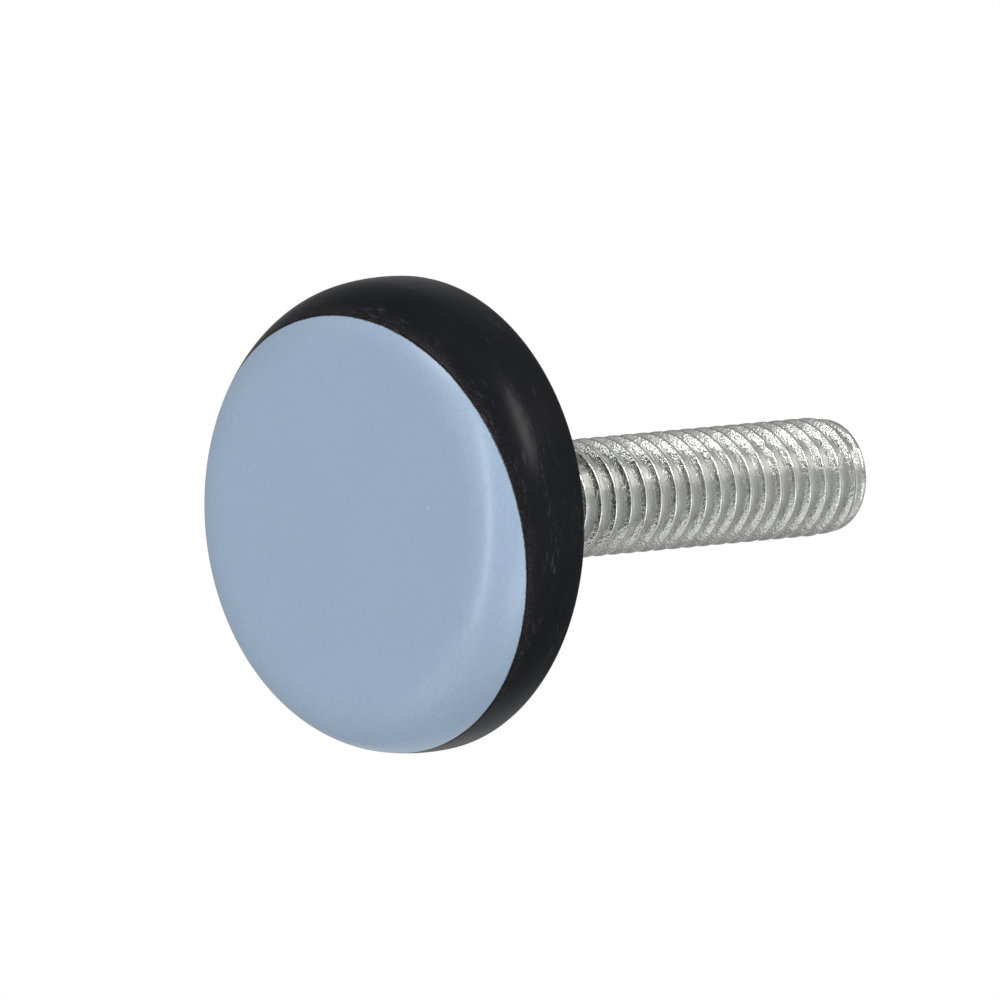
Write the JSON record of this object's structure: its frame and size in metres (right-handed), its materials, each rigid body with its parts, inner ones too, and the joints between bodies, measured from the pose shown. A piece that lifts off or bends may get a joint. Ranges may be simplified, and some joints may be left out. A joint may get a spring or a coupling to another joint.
{
  "type": "threaded furniture glide",
  "caption": "Round furniture glide: a low-friction pad in a barrel-sided rubber base, on a threaded steel stud that screws into a leg.",
  "frame": {"origin": "centre of the sliding face, where the stud's axis meets it", "axes": "+Z along the stud, from the sliding face to the stud's point; +X away from the side where the rubber lip comes lowest"},
  "size_m": [0.0318, 0.0318, 0.0455],
  "materials": {
    "pad": "blue-grey low-friction plastic, satin",
    "rubber": "black moulded rubber, satin",
    "zinc_steel": "clear zinc plate on rolled steel"
  },
  "bodies": {
    "root": {"glide_pad": "pad", "rubber_base": "rubber", "threaded_stud": "zinc_steel"}
  },
  "joints": []
}
